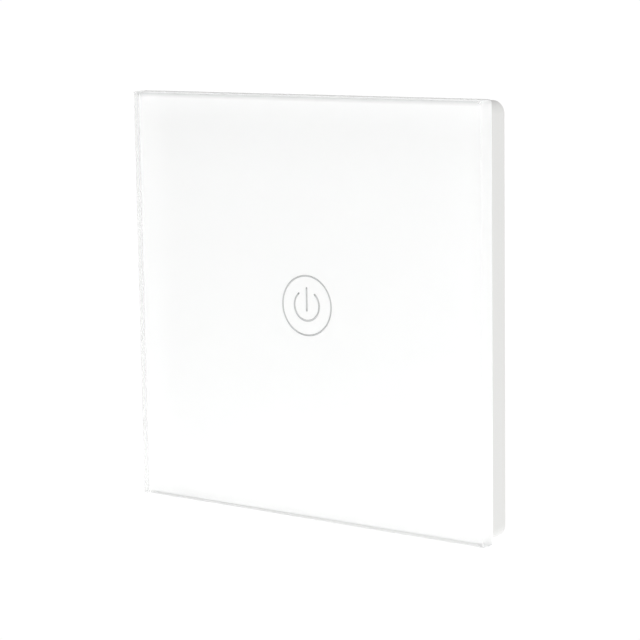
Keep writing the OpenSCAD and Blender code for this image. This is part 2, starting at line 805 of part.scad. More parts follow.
module relay_bobbin() {
    flange = winding_d + 2 * bobbin_wall;
    color("ivory")
    at_relay() place(coil_u, 0)
        difference() {
            union() {
                rod(core_d + 2 * thread_gap + 2 * bobbin_wall, bobbin_low, bobbin_high);
                rod(flange, bobbin_low, bobbin_low + bobbin_wall);
                rod(flange, bobbin_high - bobbin_wall, bobbin_high);
            }
            rod(core_d + 2 * thread_gap, bobbin_low - over, bobbin_high + over);
        }
}
module relay_winding() {
    color("peru")
    at_relay() place(coil_u, 0)
        difference() {
            rod(winding_d, bobbin_low + bobbin_wall, bobbin_high - bobbin_wall);
            rod(core_d + 4 * thread_gap + 2 * bobbin_wall, bobbin_low, bobbin_high);
        }
}
module relay_yoke() {
    leg_end = coil_u + core_d / 2 + yoke_t;
    color("slategray")
    at_relay() {
        place((pivot_u - yoke_t / 2 + leg_end) / 2, 0)
            box(leg_end - pivot_u + yoke_t / 2, yoke_w, relay_floor, relay_floor + yoke_t);
        place(pivot_u, 0) box(yoke_t, yoke_w, relay_floor, pivot_y);
        translate([pivot_u, pivot_y, 0]) cylinder(d = yoke_t, h = yoke_w, center = true);
        place(coil_u, 0) {
            rod(core_d, relay_floor + yoke_t / 2, pole_y);
            rod(pole_d, pole_y - pole_t, pole_y);
        }
    }
}
module relay_contact() {
    tab_y = fixed_button_y - button_h;
    tab_start = button_u - button_d / 2;
    tab_end = strip_u + strip_t;
    color("orange") {
        at_relay() {
            place(strip_u + strip_t / 2, 0) box(strip_t, button_d, relay_floor, tab_y);
            place((tab_start + tab_end) / 2, 0) box(tab_end - tab_start, button_d, tab_y - strip_t, tab_y);
            place(button_u, 0) rod(button_d, tab_y - strip_t, fixed_button_y);
        }
        leads(contact_leads, relay_floor + strip_t);
    }
}
module relay_armature() {
    reach = coil_u + pole_d / 2;
    color("gray")
    at_relay()
        place((pivot_u - yoke_t / 2 + reach) / 2, 0)
            box(reach - pivot_u + yoke_t / 2, yoke_w, armature_front, armature_back);
}
module relay_blade() {
    color("chocolate")
    at_relay() {
        place((coil_u + button_u + button_d / 2) / 2, 0)
            box(button_u + button_d / 2 - coil_u, button_d, armature_back, blade_top);
        place(button_u, 0) rod(button_d, moving_button_y, armature_back + blade_t / 2);
    }
}
module transformer_core() {
    color("dimgray")
    place(transformer_x, transformer_z)
        difference() {
            box(transformer_w, transformer_h, power_back, power_back + transformer_d);
            box(transformer_w - 2 * core_limb, transformer_h + 2 * over, power_back + core_limb,
                power_back + transformer_d - core_limb);
            for (s = [-1, 1])
                place(0, s * transformer_h / 2)
                    box(transformer_w + 2 * over, 2 * core_limb, power_back - over, power_back + core_limb);
        }
}
module transformer_coil() {
    coil_gap = relay_gap;
    coil_low = power_back + core_limb + coil_gap;
    coil_high = power_back + transformer_d - core_limb - coil_gap;
    color("khaki") {
        place(transformer_x, transformer_z)
            box(transformer_w - 2 * core_limb - 2 * coil_gap, transformer_h, coil_low, coil_high);
        leads(transformer_leads, coil_low + lead_d);
    }
}
module smoothing_capacitor() {
    color("darkslateblue") {
        place(can_x, can_z) rod(can_d, power_back, power_back + can_l);
        leads(can_leads, power_back + lead_end);
    }
}
module film_capacitor() {
    color("gold") {
        place(film_x, film_z) box(film_w, film_t, power_back, power_back + film_d);
        leads(film_leads, power_back + lead_end);
    }
}
module varistor() {
    color("steelblue") {
        translate([varistor_x, power_back + varistor_d / 2, varistor_z])
            cylinder(d = varistor_d, h = varistor_t, center = true);
        leads(varistor_leads, power_back + varistor_d / 3);
    }
}
module fuse() {
    color("beige") {
        translate([fuse_x, power_back + fuse_d / 2, fuse_z])
            rotate([0, 90, 0]) cylinder(d = fuse_d, h = fuse_l, center = true);
        leads(fuse_leads, power_back + fuse_d / 2);
    }
}
module rectifier() {
    leg_t = rectifier_h / 6;
    color("black")
    place(rectifier_x, rectifier_z) {
        box(rectifier_l, rectifier_w, power_back, power_back + rectifier_h);
        for (sx = [-1, 1], sz = [-1, 1])
            place(sx * rectifier_l / 4, sz * rectifier_w / 2)
                box(leg_t * 2, leg_t * 4, power_back, power_back + leg_t);
    }
}

// Terminals
module terminal_body() {
    color("green")
    difference() {
        translate([-terminal_w / 2, power_back, terminal_low])
            cube([terminal_w, terminal_top - power_back, terminal_high - terminal_low]);
        for (i = poles) {
            place(i * pole_pitch, cage_z) {
                box(cell_w, cell_l, power_back + terminal_floor, ledge_y);
                rod(terminal_screw_d + 2 * pass_gap, ledge_y - over, terminal_top);
                rod(terminal_head_d + 2 * head_gap, head_y - thread_gap, terminal_top + over);
            }
            place(i * pole_pitch, terminal_low)
                box(wire_room_w, 2 * cell_wall + over, wire_y, bar_y);
            translate([i * pole_pitch - bar_w / 2 - bar_gap, bar_y - bar_gap, bar_low - bar_gap])
                cube([bar_w + 2 * bar_gap, bar_t + 2 * bar_gap, leg_z + bar_t / 2 - bar_low + 2 * bar_gap]);
            place(i * pole_pitch, leg_z)
                box(bar_w + 2 * bar_gap, bar_t + 2 * bar_gap, power_back - over, bar_y);
        }
    }
}
module terminal_bars() {
    color("darkgoldenrod")
    for (i = poles) {
        translate([i * pole_pitch - bar_w / 2, bar_y, bar_low])
            cube([bar_w, bar_t, leg_z + bar_t / 2 - bar_low]);
        place(i * pole_pitch, leg_z) {
            box(bar_w, bar_t, power_back + bar_gap, bar_y + bar_t);
            box(bar_w / 2, bar_t, power_front - lead_end, bar_y);
        }
    }
}
module terminal_cage(i) {
    color("gold")
    place(i * pole_pitch, cage_z)
        difference() {
            box(cage_w, cage_l, cage_floor_y, nut_y + nut_t);
            box(wire_room_w, cage_l + 2 * over, wire_y, nut_y);
            rod(terminal_screw_d + 2 * thread_gap, nut_y - over, nut_y + nut_t + over);
        }
}
module terminal_screw(i) {
    driver_slot = terminal_head_d / 6;
    color("silver")
    place(i * pole_pitch, cage_z)
        difference() {
            union() {
                rod(terminal_screw_d, bar_y + bar_t + thread_gap, head_y + terminal_head_h / 2);
                rod(terminal_head_d, head_y, terminal_top);
            }
            box(terminal_head_d + over, driver_slot, head_y + terminal_head_h / 2, terminal_top + over);
        }
}

// Rear housing
module rear_housing() {
    inner_r = max(housing_corner_r - housing_wall, board_r);
    wire_mid = (wire_y + bar_y) / 2;
    color("white")
    difference() {
        union() {
            difference() {
                deep(-seat_depth, housing_back) round_rect(housing_w, housing_w, housing_corner_r);
                deep(-seat_depth - over, housing_back_inner)
                    round_rect(housing_inner_w, housing_inner_w, inner_r);
            }
            at_corners(pillar_c) rod(pillar_d, power_back, housing_back_inner + housing_wall / 2);
        }
        at_corners(pillar_c) {
            rod(housing_screw_d + 2 * pass_gap, power_back - over, housing_back);
            rod(housing_screw_head_d + 2 * head_gap, screw_seat, housing_back + over);
        }
        for (i = poles) {
            place(i * pole_pitch, cage_z) rod(driver_d, housing_back_inner - over, housing_back + over);
            place(i * pole_pitch, -housing_w / 2)
                box(wire_hole, 4 * housing_wall, wire_mid - wire_hole / 2, wire_mid + wire_hole / 2);
        }
        deep(housing_back_inner - over, housing_back + over)
            for (i = [0 : vent_n - 1])
                translate([(i - (vent_n - 1) / 2) * vent_pitch, (relay_z + board_top) / 2 - vent_l / 2])
                    rotate(90) slot(vent_l, vent_w);
    }
}
module housing_screws() {
    color("silver")
    at_corners(pillar_c)
        difference() {
            union() {
                rod(housing_screw_d, power_front - housing_screw_grip, screw_seat + housing_screw_head_h / 2);
                rod(housing_screw_head_d, screw_seat, screw_seat + housing_screw_head_h);
            }
            cross_recess(housing_screw_head_d, screw_seat + housing_screw_head_h / 2,
                screw_seat + housing_screw_head_h + over);
        }
}

glass_panel();
panel_print();
touch_sign();
bond_tape();
front_frame();
mounting_plate();
light_guide();
touch_spring();
indicator_leds();
touch_board();
touch_chip();
chip_parts();
board_screws();
header_body();
header_pins();
power_board();
relay_base();
relay_case();
relay_pins();
relay_bobbin();
relay_winding();
relay_yoke();
relay_contact();
relay_armature();
relay_blade();
transformer_core();
transformer_coil();
smoothing_capacitor();
film_capacitor();
varistor();
fuse();
rectifier();
terminal_body();
terminal_bars();
terminal_cage(poles[0]);  // terminal_cage_1
terminal_cage(poles[1]);  // terminal_cage_2
terminal_cage(poles[2]);  // terminal_cage_3
terminal_screw(poles[0]);  // terminal_screw_1
terminal_screw(poles[1]);  // terminal_screw_2
terminal_screw(poles[2]);  // terminal_screw_3
rear_housing();
housing_screws();
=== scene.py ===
import json
import math

import bmesh
import bpy
from mathutils import Matrix, Vector


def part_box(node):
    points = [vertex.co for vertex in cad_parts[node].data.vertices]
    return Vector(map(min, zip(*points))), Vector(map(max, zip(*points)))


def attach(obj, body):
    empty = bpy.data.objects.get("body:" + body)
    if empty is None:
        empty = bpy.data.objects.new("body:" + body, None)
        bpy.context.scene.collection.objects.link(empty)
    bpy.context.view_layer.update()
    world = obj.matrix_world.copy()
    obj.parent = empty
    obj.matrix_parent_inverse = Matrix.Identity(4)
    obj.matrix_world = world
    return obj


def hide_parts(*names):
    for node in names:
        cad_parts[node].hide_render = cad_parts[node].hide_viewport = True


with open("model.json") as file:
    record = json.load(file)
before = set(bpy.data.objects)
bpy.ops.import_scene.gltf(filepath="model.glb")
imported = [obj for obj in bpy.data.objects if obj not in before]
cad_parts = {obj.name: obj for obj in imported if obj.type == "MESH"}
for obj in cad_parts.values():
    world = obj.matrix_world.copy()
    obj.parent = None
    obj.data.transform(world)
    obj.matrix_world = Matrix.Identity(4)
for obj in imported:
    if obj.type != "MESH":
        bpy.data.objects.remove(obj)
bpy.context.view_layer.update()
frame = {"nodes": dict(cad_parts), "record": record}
nodes = frame["nodes"]
bodyOf = {n: b for b, names in frame["record"]["behaviour"]["bodies"].items() for n in names}
slotOf = {s["node"]: s["material_slot"] for s in frame["record"]["subparts"]}
scene = bpy.context.scene
mm = 0.001
mergeGap = 0.002 * mm                                   # corners closer than this are one
print("switch: frame loaded,", len(nodes), "nodes")


# node building: the same bench serves materials, the sky and geometry trees
class Tap:
    def __init__(self, bench, socket):
        self.bench = bench
        self.socket = socket

    def __add__(self, other):
        return self.bench.maths("ADD", self, other)

    def __radd__(self, other):
        return self.bench.maths("ADD", other, self)

    def __sub__(self, other):
        return self.bench.maths("SUBTRACT", self, other)

    def __rsub__(self, other):
        return self.bench.maths("SUBTRACT", other, self)

    def __mul__(self, other):
        return self.bench.maths("MULTIPLY", self, other)

    def __rmul__(self, other):
        return self.bench.maths("MULTIPLY", other, self)

    def __truediv__(self, other):
        return self.bench.maths("DIVIDE", self, other)

    def __pow__(self, other):
        return self.bench.maths("POWER", self, other)

    def out(self, key):
        return Tap(self.bench, self.socket.node.outputs[key])


class Bench:
    def __init__(self, tree):
        self.tree = tree

    def feed(self, socket, value):
        if isinstance(value, Tap):
            self.tree.links.new(value.socket, socket)
        elif socket.type == "RGBA":
            socket.default_value = (*value, 1)
        else:
            socket.default_value = value

    def add(self, kind, settings=None, sockets=None):
        node = self.tree.nodes.new(kind)
        for key, value in (settings or {}).items():
            setattr(node, key, value)
        for key, value in (sockets or {}).items():
            for item in value if isinstance(value, list) else [value]:
                self.feed(node.inputs[key], item)
        live = [s for s in node.outputs if s.enabled]
        return Tap(self, live[0]) if live else None

    def maths(self, operation, a, b=0.0):
        return self.add("ShaderNodeMath", {"operation": operation}, {0: a, 1: b})

    def vector(self, x=0.0, y=0.0, z=0.0):
        return self.add("ShaderNodeCombineXYZ", None, {0: x, 1: y, 2: z})

    def parts(self, vector):
        split = self.add("ShaderNodeSeparateXYZ", None, {0: vector})
        return split, split.out("Y"), split.out("Z")

    def step(self, value, low, high, easing="LINEAR"):
        settings = {"clamp": True, "interpolation_type": easing}
        return self.add("ShaderNodeMapRange", settings, {"Value": value, "From Min": low, "From Max": high})


class Finish(Bench):
    def __init__(self, name, **constants):
        self.material = bpy.data.materials.new(name)
        self.material.use_nodes = True
        super().__init__(self.material.node_tree)
        self.tree.nodes.clear()
        self.shader = self.tree.nodes.new("ShaderNodeBsdfPrincipled")
        end = self.tree.nodes.new("ShaderNodeOutputMaterial")
        self.tree.links.new(self.shader.outputs["BSDF"], end.inputs["Surface"])
        self.place = self.add("ShaderNodeTexCoord").out("Object")
        self.put(**constants)

    def put(self, **values):
        for label, value in values.items():
            self.feed(self.shader.inputs[label.replace("_", " ")], value)

    def noise(self, scale, detail=2.0, stretch=None):
        where = self.place
        if stretch:
            where = self.add("ShaderNodeMapping", None, {"Vector": where, "Scale": stretch})
        return self.add("ShaderNodeTexNoise", None, {"Vector": where, "Scale": scale, "Detail": detail})

    def axes(self):
        return self.parts(self.place)

    def between(self, mask, low, high):
        return self.add("ShaderNodeMix", {"data_type": "RGBA"}, {0: mask, 6: low, 7: high}).out(2)

    def bump(self, height, strength, distance):
        sockets = {"Height": height, "Strength": strength, "Distance": distance}
        self.put(Normal=self.add("ShaderNodeBump", None, sockets))


class Form(Bench):
    def __init__(self, name, **inputs):
        super().__init__(bpy.data.node_groups.new(name, "GeometryNodeTree"))
        self.tree.interface.new_socket("Geometry", in_out="OUTPUT", socket_type="NodeSocketGeometry")
        self.keys = {}
        for label, kind in inputs.items():
            socket = self.tree.interface.new_socket(label, in_out="INPUT", socket_type="NodeSocket" + kind)
            self.keys[label] = socket.identifier
        self.enter = self.tree.nodes.new("NodeGroupInput")
        self.leave = self.tree.nodes.new("NodeGroupOutput")

    def given(self, label):
        return Tap(self, self.enter.outputs[label])

    def end(self, geometry):
        plain = self.add("GeometryNodeRealizeInstances", None, {"Geometry": geometry})
        sockets = {"Geometry": plain, "Material": self.given("finish")}
        done = self.add("GeometryNodeSetMaterial", None, sockets)
        self.tree.links.new(done.socket, self.leave.inputs[0])

    def grow(self, name, **values):
        host = linked(name + "Host", bpy.data.meshes.new(name + "Host"))
        modifier = host.modifiers.new(name, "NODES")
        modifier.node_group = self.tree
        for label, value in values.items():
            modifier[self.keys[label]] = value
        return evaluated(host, name)


def linked(name, mesh):
    piece = bpy.data.objects.new(name, mesh)
    scene.collection.objects.link(piece)
    return piece


# the piece that a host's modifiers make, in place of the host
def evaluated(host, name):
    graph = bpy.context.evaluated_depsgraph_get()
    mesh = bpy.data.meshes.new_from_object(host.evaluated_get(graph), depsgraph=graph)
    bpy.data.objects.remove(host)
    mesh.name = name
    return linked(name, mesh)


def pieceName(node):
    return node.replace("_", " ").title().replace(" ", "")


def middleOf(node):
    low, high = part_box(node)
    return (low + high) / 2


def dress(piece, node, finish):
    piece.data.materials.clear()
    piece.data.materials.append(finish.material)
    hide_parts(node)
    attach(piece, bodyOf[node])
    return piece


def rounded(mesh, angle):
    mesh.polygons.foreach_set("use_smooth", [True] * len(mesh.polygons))
    mesh.set_sharp_from_angle(angle=math.radians(angle))


# a copy of a CAD piece to work on, with its split corners merged
def merged(node):
    work = bmesh.new()
    work.from_mesh(nodes[node].data)
    bmesh.ops.remove_doubles(work, verts=work.verts, dist=mergeGap)
    return work


def settled(work, name, smoothAngle=None):
    mesh = bpy.data.meshes.new(name)
    work.to_mesh(mesh)
    work.free()
    if smoothAngle:
        rounded(mesh, smoothAngle)
    return linked(name, mesh)


# finishes: bare masks the tinned metal of leads, legs and caps, mark is a mask with a second tone
mouldedLook = {"cloud": 55, "patchy": 0.12, "grainHeight": 0.04 * mm, "tinned": (0.74, 0.74, 0.72)}


def moulded(name, colour, grain=4200, depth=0.25, roughness=0.42, spread=0.03, bare=None, mark=None,
            **constants):
    finish = Finish(name, **constants)
    cloud = finish.noise(mouldedLook["cloud"], 3)
    lowTone = tuple(c * (1 - spread) for c in colour)
    highTone = tuple(min(1, c * (1 + spread)) for c in colour)
    tone = finish.between(cloud, lowTone, highTone)
    if mark:
        mask, second = mark
        tone = finish.between(mask(finish), tone, second)
    if bare:
        metalMask = bare(finish)
        tone = finish.between(metalMask, tone, mouldedLook["tinned"])
        finish.put(Metallic=metalMask)
    finish.put(Base_Color=tone, Roughness=roughness + (cloud - 0.5) * mouldedLook["patchy"])
    finish.bump(finish.noise(grain, 2), depth, mouldedLook["grainHeight"])
    return finish


metalLook = {"dull": 420, "dullFrom": 0.42, "dullTo": 0.75, "dullShare": 0.6, "dullRough": 0.1,
             "drawnRough": 0.16, "drawnDepth": 0.12, "drawnHeight": 0.03 * mm}


def metal(name, colour, dark, roughness=0.28, streak=(300, 2500, 300)):
    finish = Finish(name, Metallic=1.0)
    drawn = finish.noise(1, 3, streak)
    dull = finish.step(finish.noise(metalLook["dull"], 4), metalLook["dullFrom"], metalLook["dullTo"])
    finish.put(Base_Color=finish.between(dull * metalLook["dullShare"], colour, dark),
               Roughness=roughness + drawn * metalLook["drawnRough"] + dull * metalLook["dullRough"])
    finish.bump(drawn, metalLook["drawnDepth"], metalLook["drawnHeight"])
    return finish


# copper areas under the solder mask: straight-sided cells with a narrow gap between them, some left bare
boardLook = {"gapFrom": 0.06, "gapTo": 0.09, "bareFrom": 0.3, "bareTo": 0.32, "rough": 0.32, "patchy": 0.14,
             "patches": 900, "copperDepth": 0.3, "copperHeight": 0.03 * mm, "ringFade": 0.05}


def laminate(name, mask, copper, cells, pad=None, ring=None):
    finish = Finish(name, Coat_Weight=0.4, Coat_Roughness=0.15)
    x, y, z = finish.axes()
    kind = {"voronoi_dimensions": "2D", "distance": "CHEBYCHEV"}
    sockets = {"Vector": finish.vector(x, z), "Scale": cells}
    first, second = (finish.add("ShaderNodeTexVoronoi", {**kind, "feature": f}, sockets)
                     for f in ("F1", "F2"))
    area = finish.step(second - first, boardLook["gapFrom"], boardLook["gapTo"])
    area = area * finish.step(first.out("Color"), boardLook["bareFrom"], boardLook["bareTo"])
    tone = finish.between(area, mask, copper)
    if ring:
        rise, fade = z - ring["rise"] * mm, boardLook["ringFade"]
        radius = (x * x + rise * rise) ** 0.5
        fromInner = finish.step(radius, ring["inner"] * mm, (ring["inner"] + fade) * mm)
        toOuter = 1 - finish.step(radius, ring["outer"] * mm, (ring["outer"] + fade) * mm)
        plated = fromInner * toOuter
        tone = finish.between(plated, tone, pad)
        finish.put(Metallic=plated)
    finish.put(Base_Color=tone,
               Roughness=boardLook["rough"] + finish.noise(boardLook["patches"], 2) * boardLook["patchy"])
    finish.bump(area, boardLook["copperDepth"], boardLook["copperHeight"])
    return finish


# the glass is clear, with satin ground sides
def clearGlass(spec):
    finish = Finish("clearGlass", Base_Color=spec["tint"], Transmission_Weight=1.0, IOR=spec["ior"])
    x, y, z = finish.axes()
    reach = finish.maths("MAXIMUM", finish.maths("ABSOLUTE", x), finish.maths("ABSOLUTE", z))
    start, full = spec["half"] - spec["groundFrom"], spec["half"] - spec["groundTo"]
    finish.put(Roughness=finish.step(reach, start * mm, full * mm) * spec["edgeSatin"])
    return finish


# masks, from the boxes of the pieces; softEdge and boardFade are widths over which they change
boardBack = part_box("power_board")[1].y
softEdge = 0.03 * mm
boardFade = 0.04 * mm
chipParts = {"apart": 2.0, "bodyHalf": 0.62}
ledShape = {"bodyHalf": 0.62, "lensFrom": 0.42, "lensTo": 0.48}
canShape = {"lip": 0.55, "lipFade": 0.05, "roll": 0.35, "rollSteps": 6, "recess": 0.25, "topFrom": 0.4,
            "topTo": 0.35, "stripeFrom": 0.62, "stripeTo": 0.55, "crimpAt": 1.9, "crimp": 0.4,
            "crimpHalf": 0.45, "crimpSteps": 12, "bung": 0.6, "footIn": 0.1, "footUp": 0.3, "leadsIn": 0.3,
            "steps": 64}
fuseShape = {"capL": 1.75, "capStep": 0.18, "capEase": 0.06, "capRound": 0.3, "capSteps": 5, "bodyHalf": 2.5,
             "leadsIn": 0.6, "steps": 40}
panelGlass = {"half": 43.0, "corner": 0.6, "leastCorner": 0.05, "cornerSteps": 8, "flatFrom": 2.0,
              "round": 0.85, "topRound": 0.25, "roundSteps": 10, "rearBevel": 0.3, "arris": 0.1, "smooth": 20,
              "ior": 1.52, "tint": (0.998, 0.9992, 0.9988), "edgeSatin": 0.5, "groundFrom": 0.3,
              "groundTo": 0.09}

# painted shade: the print is mixed to grey along its top and bottom edges, as in the photo, standing in for
# the shade that falls along those edges of the glass, not a colour of the ink
paintedEdgeShade = {"topFrom": 41.6, "footFrom": 42.6, "to": 43.0, "tone": (0.56, 0.56, 0.56)}


def belowBoard(finish):
    return 1 - finish.step(finish.axes()[1], boardBack - boardFade, boardBack)


def outside(node, axis, half):
    def mask(finish):
        offset = finish.axes()["xyz".index(axis)] - getattr(middleOf(node), axis)
        return finish.step(finish.maths("ABSOLUTE", offset), half * mm, half * mm + softEdge)
    return mask


def offDisc(node):
    def mask(finish):
        low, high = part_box(node)
        reach = (high.x - low.x) / 2
        x, y, z = finish.axes()
        across, up = x - middleOf(node).x, y - (high.y - reach)
        return finish.step((across * across + up * up) ** 0.5, reach, reach + softEdge)
    return mask


def partEnds(finish):
    half = chipParts["bodyHalf"] * mm
    aside = finish.maths("ABSOLUTE", finish.axes()[0] - middleOf("chip_parts").x) - chipParts["apart"] * mm
    return finish.step(finish.maths("ABSOLUTE", aside), half, half + softEdge)


def canTop(finish):
    low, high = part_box("smoothing_capacitor")
    middle = middleOf("smoothing_capacitor")
    x, y, z = finish.axes()
    across, up = x - middle.x, z - middle.z
    radius = (across * across + up * up) ** 0.5
    rim = (high.x - low.x) / 2 - canShape["lip"] * mm
    top = finish.step(y, high.y - canShape["topFrom"] * mm, high.y - canShape["topTo"] * mm)
    within = 1 - finish.step(radius, rim, rim + canShape["lipFade"] * mm)
    return top * within + belowBoard(finish)


def canStripe(finish):
    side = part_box("smoothing_capacitor")[1].x
    return finish.step(finish.axes()[0], side - canShape["stripeFrom"] * mm, side - canShape["stripeTo"] * mm)


# painted shade mask: rises to 1 over the last 1.4 mm below the top edge of the print and over the last 0.4 mm
# above its bottom edge
def paintedEdgeShadeMask(finish):
    z = finish.axes()[2]
    top = finish.step(z, paintedEdgeShade["topFrom"] * mm, paintedEdgeShade["to"] * mm)
    return top + finish.step(0 - z, paintedEdgeShade["footFrom"] * mm, paintedEdgeShade["to"] * mm)


def ledLens(finish):
    aside = finish.maths("ABSOLUTE", finish.axes()[0])
    return 1 - finish.step(aside, ledShape["lensFrom"] * mm, ledShape["lensTo"] * mm)


chipBlack = (0.022, 0.022, 0.023)
blackLook = {"depth": 0.3, "roughness": 0.45, "spread": 0.1}
finishes = {
    "clear_glass": clearGlass(panelGlass),
    # the white print carries painted shade: grey along its top and bottom edges
    "white_print": moulded("whitePrint", (0.955, 0.957, 0.955), grain=900, depth=0.02, roughness=0.35,
                           spread=0.004, mark=(paintedEdgeShadeMask, paintedEdgeShade["tone"])),
    "sign_ink": moulded("signInk", (0.53, 0.535, 0.54), grain=2500, depth=0.05, roughness=0.5),
    "tape": moulded("foamTape", (0.70, 0.70, 0.69), grain=2600, depth=0.8, roughness=0.8, spread=0.05),
    "frame_plastic": moulded("framePlastic", (0.65, 0.65, 0.64), grain=5200, depth=0.12, roughness=0.38,
                             spread=0.012, Specular_IOR_Level=0.2),
    "plate_plastic": moulded("platePlastic", (0.66, 0.66, 0.65), grain=3600, depth=0.35, roughness=0.48,
                             spread=0.015),
    "housing_plastic": moulded("housingPlastic", (0.58, 0.58, 0.57), grain=3200, depth=0.4, roughness=0.5,
                               spread=0.02),
    "guide_plastic": moulded("guidePlastic", (0.90, 0.92, 0.93), grain=2600, depth=0.2, roughness=0.3,
                             spread=0.01, Transmission_Weight=0.35),
    "spring_steel": metal("springWire", (0.78, 0.72, 0.60), (0.55, 0.50, 0.42), 0.22),
    "led": moulded("ledBody", (0.86, 0.86, 0.84), grain=3000, depth=0.05, roughness=0.3, spread=0.02,
                   bare=outside("indicator_leds", "x", ledShape["bodyHalf"]),
                   mark=(ledLens, (0.90, 0.72, 0.16))),
    "touch_laminate": laminate("touchLaminate", (0.015, 0.13, 0.055), (0.03, 0.20, 0.09), 230.0,
                               (0.83, 0.66, 0.30), {"rise": 0.8, "inner": 2.9, "outer": 5.0}),
    "power_laminate": laminate("powerLaminate", (0.02, 0.14, 0.07), (0.05, 0.23, 0.12), 140.0),
    "black_plastic": moulded("blackPlastic", chipBlack, **blackLook),
    "chip_ceramic": moulded("chipCeramic", (0.42, 0.30, 0.20), grain=3600, depth=0.15, roughness=0.5,
                            spread=0.08, bare=partEnds),
    "zinc_steel": metal("zincSteel", (0.72, 0.73, 0.75), (0.50, 0.51, 0.53), 0.26),
    "gilt_pins": metal("giltPins", (0.90, 0.70, 0.32), (0.70, 0.52, 0.24), 0.22),
    "tin_pins": metal("tinPins", (0.74, 0.74, 0.72), (0.55, 0.55, 0.53), 0.32),
    "relay_blue": moulded("relayBlue", (0.02, 0.10, 0.36), grain=3800, depth=0.1, roughness=0.28, spread=0.04,
                          Coat_Weight=0.3),
    "bobbin_plastic": moulded("bobbinPlastic", (0.78, 0.72, 0.58), grain=3600, depth=0.2, roughness=0.45),
    "copper_wire": metal("copperWire", (0.72, 0.30, 0.12), (0.50, 0.18, 0.07), 0.25, (60, 12500, 60)),
    "soft_iron": metal("softIron", (0.48, 0.48, 0.50), (0.34, 0.34, 0.36), 0.34),
    "contact_copper": metal("contactCopper", (0.78, 0.42, 0.24), (0.58, 0.30, 0.18), 0.26),
    "ferrite": moulded("ferrite", (0.045, 0.045, 0.05), grain=2600, depth=0.5, roughness=0.55, spread=0.2),
    "coil_tape": moulded("coilTape", (0.80, 0.58, 0.10), grain=1500, depth=0.1, roughness=0.3, spread=0.05,
                         bare=belowBoard, Coat_Weight=0.4),
    "can_sleeve": moulded("canSleeve", (0.02, 0.022, 0.07), grain=1800, depth=0.05, roughness=0.25,
                          spread=0.1, bare=canTop, mark=(canStripe, (0.5, 0.52, 0.58))),
    "film_case": moulded("filmCase", (0.78, 0.52, 0.05), grain=3600, depth=0.2, spread=0.04, bare=belowBoard),
    "varistor_coat": moulded("varistorCoat", (0.03, 0.14, 0.40), grain=1500, roughness=0.3, spread=0.06,
                             bare=offDisc("varistor"), Coat_Weight=0.5),
    "fuse_ceramic": moulded("fuseCeramic", (0.80, 0.75, 0.64), grain=3000, depth=0.1, roughness=0.35,
                            bare=outside("fuse", "x", fuseShape["bodyHalf"])),
    "terminal_green": moulded("terminalGreen", (0.03, 0.25, 0.08), grain=3600, spread=0.05),
    "terminal_brass": metal("terminalBrass", (0.83, 0.62, 0.28), (0.62, 0.44, 0.19)),
}
chipBodyHalf = 1.96                                     # the legs of the chips start here
ownFinishes = {
    node: moulded(label, chipBlack, bare=outside(node, "z", chipBodyHalf), **blackLook)
    for node, label in (("touch_chip", "chipBlack"), ("rectifier", "rectifierBlack"))
}


def finishFor(node):
    return ownFinishes.get(node, finishes[slotOf[node]])


for name, node in nodes.items():                        # every CAD piece starts with its own finish
    node.data.materials.clear()
    node.data.materials.append(finishFor(name).material)
print("switch:", len(finishes) + len(ownFinishes), "finishes")


# glass: rings of the rounded square, from the middle of the front to the middle of the back
def squareRing(spec, inset, y):
    radius = max(spec["corner"] - inset, spec["leastCorner"])
    centre = spec["half"] - inset - radius
    points = []
    for sx, sz, start in ((1, 1, 0), (-1, 1, 90), (-1, -1, 180), (1, -1, 270)):
        for i in range(spec["cornerSteps"] + 1):
            a = math.radians(start + 90 * i / spec["cornerSteps"])
            points.append(Vector((sx * centre + radius * math.cos(a), y, sz * centre + radius * math.sin(a))))
    return points


# a ring that follows one level on most sides and another level where the test says so
def mixedRing(work, levels, takesOther):
    usual, other = (squareRing(panelGlass, inset, y) for inset, y in levels)
    return [work.verts.new((o if takesOther(o) else u) * mm) for u, o in zip(usual, other)]


def filleted(profile, radius, steps=3):
    smooth = [profile[0]]
    for before, corner, after in zip(profile, profile[1:], profile[2:]):
        b, c, a = Vector(before), Vector(corner), Vector(after)
        start = c + (b - c).normalized() * radius
        stop = c + (a - c).normalized() * radius
        for i in range(steps + 1):
            t = i / steps
            smooth.append(tuple(start * (1 - t) ** 2 + c * 2 * t * (1 - t) + stop * t ** 2))
    return smooth + [profile[-1]]


def bridged(work, one, two):
    turn = range(len(one))
    return [work.faces.new((one[i], one[i - 1], two[i - 1], two[i])) for i in turn]


def edgeProfile(spec, reach):
    low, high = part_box("glass_panel")
    front, back, bevel = low.y / mm, high.y / mm, spec["rearBevel"]
    profile = [(spec["flatFrom"], front)]
    for i in range(spec["roundSteps"] + 1):
        a = math.pi / 2 * i / spec["roundSteps"]
        profile.append((reach * (1 - math.sin(a)), front + reach * (1 - math.cos(a))))
    rear = [(0, front + 2 * reach), (0, back - bevel), (bevel, back), (spec["flatFrom"], back)]
    return profile + filleted(rear, spec["arris"])


# the front is rounded, less so along the top
def glassSlab(spec):
    work = bmesh.new()
    profiles = zip(edgeProfile(spec, spec["round"]), edgeProfile(spec, spec["topRound"]))
    rings = [mixedRing(work, levels, lambda p: p.z > abs(p.x)) for levels in profiles]
    for one, two in zip(rings, rings[1:]):
        bridged(work, one, two)
    work.faces.new(list(reversed(rings[0])))
    work.faces.new(rings[-1])
    bmesh.ops.recalc_face_normals(work, faces=work.faces)
    return settled(work, "panelGlass", spec["smooth"])


dress(glassSlab(panelGlass), "glass_panel", finishes["clear_glass"])

